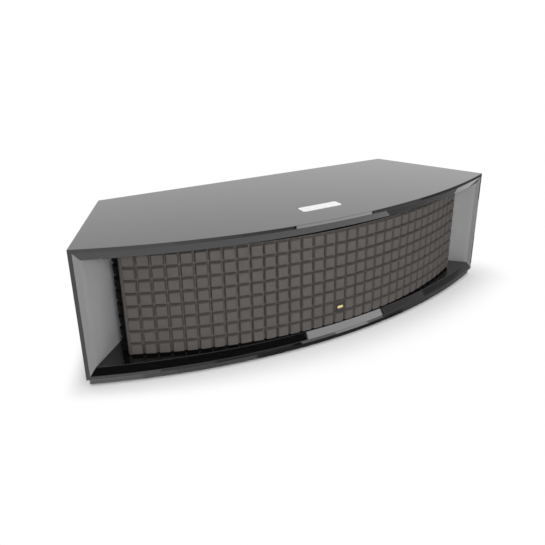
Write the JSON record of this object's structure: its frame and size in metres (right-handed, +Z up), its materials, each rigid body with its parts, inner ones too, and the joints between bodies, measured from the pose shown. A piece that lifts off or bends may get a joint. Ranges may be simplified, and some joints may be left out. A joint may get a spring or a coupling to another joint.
{
  "type": "wireless speaker",
  "caption": "Wide low wireless speaker: gloss black tapered case with a bowed bevelled front, curved foam grille of square tiles, touch strip on top, ports and sockets behind.",
  "frame": {"origin": "on the floor under the middle of the case", "axes": "+Z up, the bowed front faces -Y, +X to the right seen from the front"},
  "size_m": [0.788, 0.2854, 0.2165],
  "materials": {
    "black_lacquer": "high gloss black lacquer on board",
    "cheek_lacquer": "dark grey satin lacquer on board",
    "black_board": "matt black painted board",
    "foot_rubber": "matt black rubber",
    "tile_foam": "open cell foam, warm dark grey, black at the cut ends",
    "frame_plastic": "black moulded plastic",
    "badge_black": "black badge plate",
    "badge_gold": "polished gold plate",
    "strip_acrylic": "white acrylic with pale grey marks",
    "circuit_green": "green solder mask",
    "driver_metal": "black powder coat",
    "paper_cone": "pressed paper pulp",
    "surround_rubber": "black rubber roll",
    "magnet_ferrite": "ferrite and zinc plated steel",
    "dome_metal": "thin aluminium dome",
    "port_plastic": "textured black plastic",
    "plate_aluminium": "black anodised aluminium",
    "socket_plastic": "black plastic",
    "socket_brass": "gold plated brass",
    "screw_steel": "black oxide steel"
  },
  "bodies": {
    "root": {"amplifier_board": "circuit_green", "badge_plate": "badge_black", "badge_tab": "badge_gold", "base_plinth": "black_board", "bottom_panel": "black_lacquer", "control_board": "circuit_green", "control_strip": "strip_acrylic", "driver_screws": "screw_steel", "foam_grille": "tile_foam", "foot_front_left": "foot_rubber", "foot_front_right": "foot_rubber", "foot_rear_left": "foot_rubber", "foot_rear_right": "foot_rubber", "front_baffle": "black_board", "grille_frame": "frame_plastic", "grille_pegs": "frame_plastic", "ground_post": "socket_brass", "heat_sink": "plate_aluminium", "input_panel": "plate_aluminium", "jack_socket": "socket_plastic", "left_cheek": "cheek_lacquer", "left_lower_midrange_cone": "paper_cone", "left_lower_midrange_frame": "driver_metal", "left_lower_midrange_surround": "surround_rubber", "left_port_tube": "port_plastic", "left_side_panel": "black_lacquer", "left_tweeter_dome": "dome_metal", "left_tweeter_faceplate": "driver_metal", "left_tweeter_magnet": "magnet_ferrite", "left_upper_midrange_cone": "paper_cone", "left_upper_midrange_frame": "driver_metal", "left_upper_midrange_surround": "surround_rubber", "left_woofer_basket": "driver_metal", "left_woofer_cone": "paper_cone", "left_woofer_magnet": "magnet_ferrite", "left_woofer_surround": "surround_rubber", "mains_inlet": "socket_plastic", "network_socket": "socket_plastic", "power_supply": "socket_plastic", "rca_sockets": "socket_brass", "rear_panel": "black_board", "rear_screws": "screw_steel", "right_cheek": "cheek_lacquer", "right_lower_midrange_cone": "paper_cone", "right_lower_midrange_frame": "driver_metal", "right_lower_midrange_surround": "surround_rubber", "right_port_tube": "port_plastic", "right_side_panel": "black_lacquer", "right_tweeter_dome": "dome_metal", "right_tweeter_faceplate": "driver_metal", "right_tweeter_magnet": "magnet_ferrite", "right_upper_midrange_cone": "paper_cone", "right_upper_midrange_frame": "driver_metal", "right_upper_midrange_surround": "surround_rubber", "right_woofer_basket": "driver_metal", "right_woofer_cone": "paper_cone", "right_woofer_magnet": "magnet_ferrite", "right_woofer_surround": "surround_rubber", "top_panel": "black_lacquer", "wireless_module": "circuit_green"}
  },
  "joints": []
}
